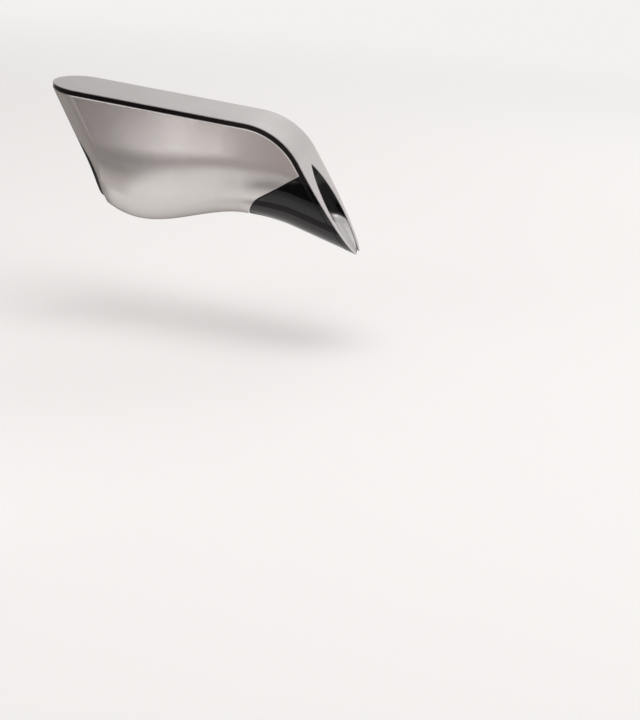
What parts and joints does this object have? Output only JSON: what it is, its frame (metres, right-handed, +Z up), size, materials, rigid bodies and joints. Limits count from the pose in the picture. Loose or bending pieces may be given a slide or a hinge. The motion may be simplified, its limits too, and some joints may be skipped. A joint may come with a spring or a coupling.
{
  "type": "wine aerator pourer",
  "caption": "Handheld electric wine aerator that plugs onto a bottle's neck: bent flat cover, satin shell, black beak with a leaf-shaped mouth, ribbed stopper and inner air pump.",
  "frame": {"origin": "centre of the bottle's mouth plane, where its lip meets the seat gasket, on the neck's axis", "axes": "+X along the bottle's neck towards the spout, +Z up towards the flat cover, +Y across; symmetric about Y = 0"},
  "size_m": [0.1496, 0.044, 0.0651],
  "materials": {
    "cover_anodised": "satin anodised",
    "gloss_black": "gloss moulded",
    "shell_satin": "satin metallic",
    "lip_steel": "polished",
    "liner_black": "fine matt moulded",
    "silicone_black": "soft matt",
    "spigot_grey": "moulded",
    "fine_steel": "drawn",
    "duct_clear": "moulded",
    "silicone_clear": "soft",
    "nylon_white": "moulded",
    "bronze": "sintered",
    "magnet_dark": "sintered",
    "carbon": "pressed",
    "lamination_steel": "stamped",
    "copper": "drawn",
    "rubber_dark": "moulded",
    "pump_plastic": "moulded",
    "screw_steel": "plated",
    "frame_plastic": "glass-filled",
    "board_green": "solder mask",
    "chip_black": "epoxy",
    "light_white": "diffuser",
    "battery_foil": "pouch foil",
    "foam_grey": "foam",
    "foil_amber": "film",
    "lead_red": "insulation"
  },
  "bodies": {
    "head": {"top_cover": "cover_anodised", "bezel_frame": "gloss_black", "outer_shell": "shell_satin", "spout_body": "gloss_black", "pour_lip": "lip_steel", "neck_liner": "liner_black", "wine_duct": "duct_clear", "duct_seal": "silicone_black", "air_injector": "duct_clear", "valve_housing": "nylon_white", "check_valve": "silicone_clear", "air_hose": "silicone_clear", "motor_can": "fine_steel", "end_bell": "nylon_white", "motor_bushes": "bronze", "field_magnets": "magnet_dark", "motor_brushes": "carbon", "motor_cradle": "rubber_dark", "pump_base": "pump_plastic", "wobble_yoke": "nylon_white", "pump_diaphragm": "rubber_dark", "valve_plate": "pump_plastic", "valve_flaps": "rubber_dark", "pump_cap": "pump_plastic", "pump_screws": "screw_steel", "duct_screws": "screw_steel", "frame_screws": "screw_steel", "inner_frame": "frame_plastic", "main_board": "board_green", "board_chips": "chip_black", "tilt_sensor": "chip_black", "status_light": "light_white", "battery": "battery_foil", "battery_pad": "foam_grey", "charging_socket": "fine_steel", "touch_foil": "foil_amber", "motor_leads": "lead_red", "battery_leads": "lead_red"},
    "stopper": {"stopper_seal": "silicone_black", "stopper_spigot": "spigot_grey", "seat_gasket": "silicone_black", "spigot_o_ring": "silicone_black", "vent_tube": "fine_steel"},
    "rotor": {"motor_shaft": "fine_steel", "armature": "lamination_steel", "commutator": "copper", "eccentric": "bronze"}
  },
  "joints": [
    {"name": "stopper_pull", "type": "slide", "parent": "head", "child": "stopper", "axis": [-1, 0, 0], "range_m": [0, 0.06]},
    {"name": "pump_spin", "type": "hinge", "parent": "head", "child": "rotor", "pos_m": [0, 0, 0.0164], "axis": [1, 0, 0], "continuous": true}
  ]
}
